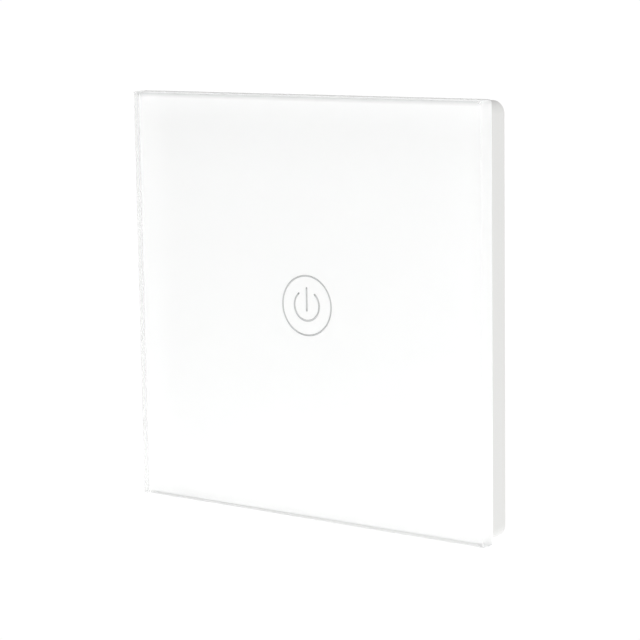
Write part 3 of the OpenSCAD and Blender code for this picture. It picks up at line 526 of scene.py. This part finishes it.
# print: its front lies a hair inside the glass, so that light meets it without an air gap, and it laps over
# the arris, further along the upright edges than along the level ones
backPrint = {
    "sink": 0.02, "frontWithin": 0.01,
    "lap": [(0.02, -0.32), (0.32, -0.02), (0.45, -0.02), (0.45, 0.08), (0.30, 0.08), (0.0, -0.24)],
    "sideLap": [(0.05, -0.40), (0.35, -0.10), (0.55, -0.06), (0.55, 0.08), (0.30, 0.08), (0.0, -0.24)],
}


def printSheet(spec):
    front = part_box("panel_print")[0].y
    work = merged("panel_print")
    for v in work.verts:
        if v.co.y < front + spec["frontWithin"] * mm:
            v.co.y = front - spec["sink"] * mm
    rings = []
    for pair in zip(spec["lap"], spec["sideLap"]):
        levels = [(inset, front / mm + y) for inset, y in pair]
        rings.append(mixedRing(work, levels, lambda p: abs(p.x) > abs(p.z)))
    lap = [f for one, two in zip(rings, rings[1:] + rings[:1]) for f in bridged(work, one, two)]
    bmesh.ops.recalc_face_normals(work, faces=lap)
    return settled(work, "backPrint")


dress(printSheet(backPrint), "panel_print", finishes["white_print"])

# sign: ring, open arc and bar, drawn as lines of ink; the lines' middles lie a little inside their diameters
touchSign = {"ringD": 12.4, "ringIn": 0.15, "ringLine": 0.31, "arcD": 6.5, "arcIn": 0.175, "signLine": 0.41,
             "gap": 40.0, "barUp": 3.6, "barDown": 1.0, "rise": 0.8, "sink": 0.03}


def signForm():
    lengths = ("ringRadius", "arcRadius", "ringLine", "signLine", "gap", "barUp", "barDown", "thick")
    form = Form("signLines", **{k: "Float" for k in lengths}, place="Vector", finish="Material")
    g = {k: form.given(k) for k in lengths}
    quad = "GeometryNodeCurvePrimitiveQuadrilateral"
    thin = form.add(quad, None, {"Width": g["ringLine"], "Height": g["thick"]})
    bold = form.add(quad, None, {"Width": g["signLine"], "Height": g["thick"]})
    ring = form.add("GeometryNodeCurvePrimitiveCircle", None, {"Resolution": 128, "Radius": g["ringRadius"]})
    arc = form.add("GeometryNodeCurveArc", None, {
        "Resolution": 96, "Radius": g["arcRadius"], "Start Angle": g["gap"] + math.pi / 2,
        "Sweep Angle": 2 * math.pi - 2 * g["gap"]})
    bar = form.add("GeometryNodeCurvePrimitiveLine", None, {
        "Start": form.vector(y=0 - g["barDown"]), "End": form.vector(y=g["barUp"])})
    lines = []
    for path, profile in ((ring, thin), (arc, bold), (bar, bold)):
        flat = form.add("GeometryNodeSetCurveNormal", {"mode": "Z_UP"}, {"Curve": path})
        sockets = {"Curve": flat, "Profile Curve": profile, "Fill Caps": True}
        lines.append(form.add("GeometryNodeCurveToMesh", None, sockets))
    dot = form.add("GeometryNodeMeshCylinder", None, {
        "Vertices": 24, "Radius": g["signLine"] / 2, "Depth": g["thick"]})
    ends = form.add("GeometryNodeCurveEndpointSelection")
    for path in (arc, bar):
        sockets = {"Points": path, "Selection": ends, "Instance": dot}
        lines.append(form.add("GeometryNodeInstanceOnPoints", None, sockets))
    joined = form.add("GeometryNodeJoinGeometry", None, {"Geometry": lines})
    form.end(form.add("GeometryNodeTransform", None, {
        "Geometry": joined, "Translation": form.given("place"), "Rotation": (math.pi / 2, 0, 0)}))
    return form


def signPiece(spec):
    low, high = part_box("touch_sign")
    thick = high.y - low.y + spec["sink"] * mm
    sizes = {k: spec[k] * mm for k in ("ringLine", "signLine", "barUp", "barDown")}
    return signForm().grow("touchSign", ringRadius=(spec["ringD"] / 2 - spec["ringIn"]) * mm,
                           arcRadius=(spec["arcD"] / 2 - spec["arcIn"]) * mm, gap=math.radians(spec["gap"]),
                           thick=thick, place=(0, high.y - thick / 2, spec["rise"] * mm),
                           finish=finishes["sign_ink"].material, **sizes)


dress(signPiece(touchSign), "touch_sign", finishes["sign_ink"])
print("switch: glass, print and sign")

# screws: domed head, cross or slot cut into it, core and a raised thread, set on a grid of places
screwSets = {
    "housing_screws": {
        "headD": 5.0, "headH": 2.0, "dome": 0.7, "shankD": 2.9, "length": 12.6, "pitch": 1.1, "ridge": 0.35,
        "tip": 2.2, "tipD": 0.5, "cutL": 3.0, "cutW": 0.8, "cutH": 1.0,
        "cuts": 2, "across": 2, "step": 0.7},
    "board_screws": {
        "headD": 3.8, "headH": 1.3, "dome": 0.5, "shankD": 2.0, "length": 3.2, "pitch": 0.8, "ridge": 0.25,
        "tip": 0.9, "tipD": 0.5, "cutL": 2.28, "cutW": 0.6, "cutH": 0.65,
        "cuts": 2, "across": 2, "step": 1.1},
}
for i in (1, 2, 3):
    screwSets["terminal_screw_%d" % i] = {
        "headD": 5.2, "headH": 1.6, "dome": 0.35, "shankD": 3.5, "length": 6.3, "pitch": 0.6, "ridge": 0.28,
        "tip": 0.4, "tipD": 2.4, "cutL": 5.6, "cutW": 0.87, "cutH": 0.8,
        "cuts": 1, "across": 1, "step": 0.0}
threadShare = 0.3                                       # height of each flank, as a share of the pitch


def screwForm():
    lengths = ("headD", "headH", "dome", "shankD", "length", "pitch", "ridge", "tip", "tipD", "cutL", "cutW",
               "cutH", "span")
    form = Form("screw", **{k: "Float" for k in lengths}, step="Float", cuts="Int", across="Int",
                place="Vector", finish="Material")
    g = {k: form.given(k) for k in lengths}
    core = g["shankD"] / 2 - g["ridge"]
    under = g["headH"] + g["length"]

    def lifted(shape, height):
        sockets = {"Geometry": shape, "Translation": form.vector(z=height)}
        return form.add("GeometryNodeTransform", None, sockets)

    def cylinder(sides, radius, depth):
        sockets = {"Vertices": sides, "Radius": radius, "Depth": depth}
        return form.add("GeometryNodeMeshCylinder", None, sockets)

    blank = cylinder(64, g["headD"] / 2, g["headH"])
    crown = (g["headD"] * g["headD"] / 4 + g["dome"] * g["dome"]) / (2 * g["dome"])
    ball = form.add("GeometryNodeMeshUVSphere", None, {"Segments": 64, "Rings": 90, "Radius": crown})
    head = form.add("GeometryNodeMeshBoolean", {"operation": "INTERSECT", "solver": "MANIFOLD"}, {
        "Mesh 2": [lifted(blank, g["headH"] / -2), lifted(ball, 0 - crown)]})
    size = form.vector(g["cutL"], g["cutW"], g["cutH"] * 2)
    quarter = form.add("GeometryNodeInputIndex") * (math.pi / 2)
    row = form.add("GeometryNodeMeshLine", None, {"Count": form.given("cuts"), "Offset": (0, 0, 0)})
    cutters = form.add("GeometryNodeInstanceOnPoints", None, {
        "Points": row, "Instance": form.add("GeometryNodeMeshCube", None, {"Size": size}),
        "Rotation": form.vector(z=quarter)})
    head = form.add("GeometryNodeMeshBoolean", {"operation": "DIFFERENCE", "solver": "MANIFOLD"}, {
        "Mesh 1": head, "Mesh 2": form.add("GeometryNodeRealizeInstances", None, {"Geometry": cutters})})
    rod = cylinder(32, core, g["length"] - g["tip"])
    point = form.add("GeometryNodeMeshCone", None, {
        "Vertices": 32, "Radius Top": core, "Radius Bottom": g["tipD"] / 2, "Depth": g["tip"]})
    run = g["length"] - g["tip"] - g["pitch"]
    spiral = form.add("GeometryNodeCurveSpiral", None, {
        "Resolution": 20, "Rotations": run / g["pitch"], "Height": run,
        "Start Radius": core, "End Radius": core})
    flank = g["pitch"] * threadShare
    ridge = form.add("GeometryNodeCurvePrimitiveQuadrilateral", {"mode": "KITE"}, {
        "Width": g["ridge"] * 2, "Bottom Height": flank, "Top Height": flank})
    thread = form.add("GeometryNodeCurveToMesh", None, {
        "Curve": form.add("GeometryNodeSetCurveNormal", {"mode": "Z_UP"}, {"Curve": spiral}),
        "Profile Curve": ridge, "Fill Caps": True})
    screw = form.add("GeometryNodeJoinGeometry", None, {"Geometry": [
        head, lifted(rod, (g["length"] - g["tip"]) / -2 - g["headH"]), lifted(point, 0 - under),
        lifted(thread, g["tip"] - under + g["pitch"] / 2)]})
    across = form.given("across")
    spots = form.add("GeometryNodeMeshGrid", None, {
        "Size X": g["span"], "Size Y": g["span"], "Vertices X": across, "Vertices Y": across})
    turn = form.add("GeometryNodeInputIndex") * form.given("step")
    grid = form.add("GeometryNodeInstanceOnPoints", None, {
        "Points": spots, "Instance": screw, "Rotation": form.vector(z=turn)})
    form.end(form.add("GeometryNodeTransform", None, {
        "Geometry": grid, "Translation": form.given("place"), "Rotation": (-math.pi / 2, 0, 0)}))
    return form


def setScrews(sets, smoothAngle=35):
    form = screwForm()
    for node, spec in sets.items():
        low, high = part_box(node)
        middle = middleOf(node)
        span = high.x - low.x - spec["headD"] * mm if spec["across"] > 1 else 0.0
        counts = {k: spec[k] for k in ("cuts", "across", "step")}
        sizes = {k: v * mm for k, v in spec.items() if k not in counts}
        finish = finishes[slotOf[node]]
        piece = form.grow(pieceName(node), span=span, finish=finish.material,
                          place=(middle.x, high.y, middle.z), **sizes, **counts)
        rounded(piece.data, smoothAngle)
        dress(piece, node, finish)


setScrews(screwSets)
print("switch:", len(screwSets), "sets of screws")

# wound wire: the touch spring with its straight leads, and the outer layer of the relay's winding
woundWire = {
    "touch_spring": {"radius": 3.9, "wire": 0.6, "turns": 5.0, "lead": 0.1, "steps": 240, "sides": 12},
    "relay_winding": {"radius": 4.18, "wire": 0.24, "turns": 31.0, "lead": 0.0, "steps": 31 * 24, "sides": 6},
}


def coilForm():
    form = Form("woundWire", radius="Float", wire="Float", turns="Float", lead="Float", rise="Float",
                steps="Int", sides="Int", place="Vector", finish="Material")
    line = form.add("GeometryNodeCurvePrimitiveLine", None, {"Start": (0, 0, 0), "End": (0, 0, 1)})
    path = form.add("GeometryNodeResampleCurve", None, {"Curve": line, "Count": form.given("steps")})
    along = form.add("GeometryNodeSplineParameter")
    lead, radius = form.given("lead"), form.given("radius")
    angle = form.step(along, lead, 1 - lead) * form.given("turns") * (2 * math.pi)
    across = form.maths("COSINE", angle) * radius
    up = form.maths("SINE", angle) * radius
    spot = form.vector(across, 0 - along * form.given("rise"), up)
    bent = form.add("GeometryNodeSetPosition", None, {"Geometry": path, "Position": spot})
    tube = form.add("GeometryNodeCurvePrimitiveCircle", None, {
        "Resolution": form.given("sides"), "Radius": form.given("wire") / 2})
    sockets = {"Curve": bent, "Profile Curve": tube, "Fill Caps": True}
    wire = form.add("GeometryNodeCurveToMesh", None, sockets)
    form.end(form.add("GeometryNodeTransform", None, {"Geometry": wire, "Translation": form.given("place")}))
    return form


# the layers below the outer turns, a little inside them
def fillUnder(piece, node, spec):
    middle = middleOf(node)
    work = merged(node)
    for v in work.verts:
        out = Vector((v.co.x - middle.x, 0, v.co.z - middle.z))
        if out.length > (spec["radius"] - spec["wire"]) * mm:
            v.co -= out * (1 - spec["radius"] * mm / out.length)
    work.from_mesh(piece.data)
    work.to_mesh(piece.data)
    work.free()


def setWire(sets, smoothAngle=50):
    form = coilForm()
    for node, spec in sets.items():
        low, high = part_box(node)
        middle = middleOf(node)
        inset = 0 if spec["lead"] else spec["wire"] / 2 * mm
        finish = finishes[slotOf[node]]
        counts = {k: spec[k] for k in ("turns", "lead", "steps", "sides")}
        piece = form.grow(pieceName(node), finish=finish.material, radius=spec["radius"] * mm,
                          wire=spec["wire"] * mm, rise=high.y - low.y - 2 * inset,
                          place=(middle.x, high.y - inset, middle.z), **counts)
        if not spec["lead"]:
            fillUnder(piece, node, spec)
        rounded(piece.data, smoothAngle)
        dress(piece, node, finish)


setWire(woundWire)
print("switch:", len(woundWire), "wound pieces")

# the can and the fuse: turned bodies, on the leads that go through the board
turnedBody = {"leadCut": 0.02, "hair": 0.0001, "smooth": 30}


# the leads of a piece, cut off at the board and lengthened into its body
def leadsOf(node, reach):
    work = merged(node)
    level = boardBack - turnedBody["leadCut"] * mm
    everything = work.verts[:] + work.edges[:] + work.faces[:]
    bmesh.ops.bisect_plane(work, geom=everything, plane_co=(0, level, 0), plane_no=(0, 1, 0),
                           clear_outer=True)
    bmesh.ops.holes_fill(work, edges=[e for e in work.edges if e.is_boundary])
    for v in work.verts:
        if v.co.y > level - turnedBody["hair"] * mm:
            v.co.y += reach * mm
    return work


# spot gives a point of the body from its radius, its place along the axis and its angle
def turned(node, outline, spot, spec):
    work = leadsOf(node, spec["leadsIn"])
    angles = [2 * math.pi * i / spec["steps"] for i in range(spec["steps"])]
    rings = [[work.verts.new(spot(r, h, a) * mm) for a in angles] for r, h in outline]
    made = [f for one, two in zip(rings, rings[1:]) for f in bridged(work, one, two)]
    made += [work.faces.new(rings[0]), work.faces.new(rings[-1])]
    bmesh.ops.recalc_face_normals(work, faces=made)
    dress(settled(work, pieceName(node), turnedBody["smooth"]), node, finishFor(node))


def canPiece(spec):
    low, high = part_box("smoothing_capacitor")
    middle = middleOf("smoothing_capacitor") / mm
    radius, tall, base = (high.x - low.x) / 2 / mm, (high.y - boardBack) / mm, boardBack / mm
    waist, half, roll = spec["crimpAt"], spec["crimpHalf"], spec["roll"]
    outline = [(radius - spec["bung"], 0), (radius - spec["footIn"], 0), (radius, spec["footUp"]),
               (radius, waist - half)]
    for i in range(1, spec["crimpSteps"]):              # rolled crimp near the board
        a = math.pi * i / spec["crimpSteps"]
        outline.append((radius - spec["crimp"] * math.sin(a) ** 2, waist - half * math.cos(a)))
    outline += [(radius, waist + half), (radius, tall - roll)]
    for i in range(1, spec["rollSteps"] + 1):           # sleeve shrunk over the top edge
        a = math.pi / 2 * i / spec["rollSteps"]
        outline.append((radius - roll * (1 - math.cos(a)), tall - roll * (1 - math.sin(a))))
    outline += [(radius - spec["lip"], tall), (radius - spec["lip"], tall - spec["recess"])]

    def spot(r, h, a):
        return Vector((middle.x + r * math.cos(a), base + h, middle.z + r * math.sin(a)))

    turned("smoothing_capacitor", outline, spot, spec)


def fusePiece(spec):
    low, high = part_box("fuse")
    middle = middleOf("fuse") / mm
    radius, half, ease = (high.z - low.z) / 2 / mm, (high.x - low.x) / 2 / mm, spec["capRound"]
    left = [(radius - ease, -half)]
    for i in range(1, spec["capSteps"] + 1):
        a = math.pi / 2 * i / spec["capSteps"]
        left.append((radius - ease * (1 - math.sin(a)), ease * (1 - math.cos(a)) - half))
    capEnd = spec["capL"] - half
    left += [(radius, capEnd - spec["capEase"]), (radius - spec["capStep"], capEnd)]
    outline = left + [(r, -h) for r, h in reversed(left)]
    axis = high.y / mm - radius

    def spot(r, h, a):
        return Vector((middle.x + h, axis + r * math.cos(a), middle.z + r * math.sin(a)))

    turned("fuse", outline, spot, spec)


canPiece(canShape)
fusePiece(fuseShape)
print("switch: can and fuse")

# eased copies of the moulded and stamped pieces, edge radius in mm; pieces with leads are eased only from a
# height above the board
easedEdges = {
    "bond_tape": 0.06, "front_frame": 0.2, "mounting_plate": 0.2, "rear_housing": 0.25, "light_guide": 0.12,
    "terminal_body": 0.15, "relay_case": 0.3, "relay_base": 0.04, "header_body": 0.12, "terminal_bars": 0.1,
    "terminal_cage_1": 0.1, "terminal_cage_2": 0.1, "terminal_cage_3": 0.1, "transformer_core": 0.15,
    "indicator_leds": 0.08, "touch_board": 0.06, "power_board": 0.08, "touch_chip": 0.06, "chip_parts": 0.06,
    "header_pins": 0.14, "relay_bobbin": 0.12, "relay_yoke": 0.12, "relay_armature": 0.12, "relay_blade": 0.0,
    "relay_contact": 0.0, "relay_pins": 0.12, "rectifier": 0.25,
}
easedAbove = {"transformer_coil": (0.8, 2.6), "film_capacitor": (0.6, 0.2), "varistor": (1.1, 0.2)}
easing = {"flatWithin": 0.6, "crisp": 35, "smooth": 40, "steps": 2, "wideSteps": 4}     # angles in degrees


# a merged copy of a CAD piece with its outer edges eased, as moulding and stamping leave them
def eased(node, width, steps, keep=None):
    work = merged(node)
    flat = math.radians(easing["flatWithin"])
    bmesh.ops.dissolve_limit(work, angle_limit=flat, verts=work.verts, edges=work.edges)
    weight = work.edges.layers.float.new("bevel_weight_edge")
    for edge in work.edges:
        crisp = len(edge.link_faces) == 2 and edge.calc_face_angle_signed() > math.radians(easing["crisp"])
        if width and crisp and (keep is None or all(keep(v.co) for v in edge.verts)):
            edge[weight] = 1.0
    host = settled(work, pieceName(node) + "Host", easing["smooth"])
    bevel = host.modifiers.new("ease", "BEVEL")
    bevel.limit_method = "WEIGHT"
    bevel.width = width * mm
    bevel.segments = steps
    bevel.use_clamp_overlap = False
    bevel.loop_slide = False                            # even widths round the holes
    bevel.miter_outer = "MITER_ARC"
    even = host.modifiers.new("even", "WEIGHTED_NORMAL")
    even.keep_sharp = True
    return evaluated(host, pieceName(node))


for node, width in easedEdges.items():
    dress(eased(node, width, easing["steps"]), node, finishFor(node))
for node, (width, height) in easedAbove.items():
    level = boardBack + height * mm
    dress(eased(node, width, easing["wideSteps"], lambda spot: spot.y > level), node, finishFor(node))
print("switch:", len(easedEdges) + len(easedAbove), "eased pieces")

# studio, lengths in metres: the eye sees a white sweep behind the switch and pale grey elsewhere, while what
# falls on the switch is shaped: a hot floor below, more from the right, less from above, and a dark flag
# behind on the left that draws the edges of the glass
studio = {"floorZ": -0.12, "floorHalf": 60.0, "floorLight": 1.02, "hotSpot": 0.5, "hotRadius": 0.28,
          "front": 0.985, "right": 0.95, "up": -0.5, "behind": 0.95, "turn": 0.5,
          "flag": (-0.62, 0.77, 0.12), "flagFrom": 0.6, "flagTo": 0.9, "flagLight": 0.0,
          "white": 1.02, "pale": 0.72, "sweep": (-0.595, 0.804), "sweepFrom": 0.883, "sweepTo": 0.987,
          "sweepFoot": (0.268, -0.364), "footFrom": 0.35, "footTo": 0.58}


# the eye sees the sweep, which fans out from its foot on the floor, and other rays the light itself
def seenSweep(bench, x, y, light, spec, onFloor):
    along = x * spec["sweep"][0] + y * spec["sweep"][1]
    facing = along / (x * x + y * y) ** 0.5
    fan = bench.step(facing, spec["sweepFrom"], spec["sweepTo"], "SMOOTHSTEP")
    if onFloor:
        fan = fan * bench.step(along, spec["footFrom"], spec["footTo"], "SMOOTHSTEP")
    seen = spec["pale"] + (spec["white"] - spec["pale"]) * fan
    eye = bench.add("ShaderNodeLightPath").out("Is Camera Ray")
    return light + eye * (seen - light)


# dims what is mirrored or seen through the glass in the directions around the flag
def flagged(bench, direction, light, spec):
    dot = bench.add("ShaderNodeVectorMath", {"operation": "DOT_PRODUCT"}, {0: direction, 1: spec["flag"]})
    dim = bench.step(dot.out("Value"), spec["flagFrom"], spec["flagTo"], "SMOOTHSTEP")
    diffuse = bench.add("ShaderNodeLightPath").out("Is Diffuse Ray")
    return light + dim * (1 - diffuse) * (spec["flagLight"] - light)


def setFloor(spec):
    mesh = bpy.data.meshes.new("floor")
    h, level = spec["floorHalf"], spec["floorZ"]
    corners = [(-h, -h, level), (h, -h, level), (h, h, level), (-h, h, level)]
    mesh.from_pydata(corners, [], [(0, 1, 2, 3)])
    floor = linked("floor", mesh)
    paper = Finish("floorPaper", Base_Color=(0, 0, 0), Specular_IOR_Level=0.0, Roughness=1.0,
                   Emission_Strength=1.0)
    x, y, z = paper.axes()
    fall = paper.maths("EXPONENT", 0 - (x * x + y * y) / spec["hotRadius"] ** 2)
    away = paper.add("ShaderNodeVectorMath", {"operation": "NORMALIZE"}, {0: paper.place})
    glow = flagged(paper, away, spec["floorLight"] + spec["hotSpot"] * fall, spec)
    footX, footY = spec["sweepFoot"]
    paper.put(Emission_Color=seenSweep(paper, x - footX, y - footY, glow, spec, True))
    mesh.materials.append(paper.material)


def setSky(spec):
    world = bpy.data.worlds.new("studioSky")
    scene.world = world
    world.use_nodes = True
    sky = Bench(world.node_tree)
    direction = sky.add("ShaderNodeTexCoord").out("Generated")
    x, y, z = sky.parts(direction)
    behind = sky.step(y, 0.0, spec["turn"])
    light = spec["front"]
    for key, along in (("right", x), ("up", z)):
        light = light + spec[key] * sky.maths("MAXIMUM", along, 0.0) ** 2
    light = flagged(sky, direction, light * (1 - behind) + spec["behind"] * behind, spec)
    back = [n for n in world.node_tree.nodes if n.type == "BACKGROUND"][0]
    sky.feed(back.inputs["Strength"], seenSweep(sky, x, y, light, spec, False))
    sky.feed(back.inputs["Color"], (1, 1, 1))


def setLightPaths():
    scene.view_settings.view_transform = "Standard"
    scene.cycles.max_bounces = 24
    scene.cycles.blur_glossy = 0.0                      # keeps total reflection inside the glass exact
    scene.cycles.diffuse_bounces = 8
    scene.cycles.glossy_bounces = 10
    scene.cycles.transmission_bounces = 16


setFloor(studio)
setSky(studio)
setLightPaths()

# camera, from the fit to the photo's outline: mm and degrees, focal and photoWidth in pixels
viewpoint = {"focal": 2243.4, "photoWidth": 640, "sensor": 36, "azimuth": 36.745, "elevation": 8.865,
             "roll": -0.868, "right": 3.987, "up": -1.789, "distance": 449.02, "aim": (0.0, -9.2, 0.0),
             "clipNear": 10, "clipFar": 200000}


def setCamera(spec):
    a, e, r = (math.radians(spec[k]) for k in ("azimuth", "elevation", "roll"))
    back = Vector((math.sin(a) * math.cos(e), -math.cos(a) * math.cos(e), math.sin(e)))
    level = Vector((math.cos(a), math.sin(a), 0))
    upright = back.cross(level)
    right = level * math.cos(r) + upright * math.sin(r)
    up = upright * math.cos(r) - level * math.sin(r)
    camera = bpy.data.objects.new("camera", bpy.data.cameras.new("camera"))
    camera.data.sensor_width = spec["sensor"]
    camera.data.lens = spec["focal"] / spec["photoWidth"] * spec["sensor"]
    camera.data.clip_start = spec["clipNear"] * mm
    camera.data.clip_end = spec["clipFar"] * mm
    place = (Vector(spec["aim"]) + back * spec["distance"] + right * spec["right"] + up * spec["up"]) * mm
    turn = Matrix((right, up, back)).transposed().to_4x4()
    camera.matrix_world = Matrix.Translation(place) @ turn
    scene.collection.objects.link(camera)
    scene.camera = camera


setCamera(viewpoint)
print("switch: studio and camera")
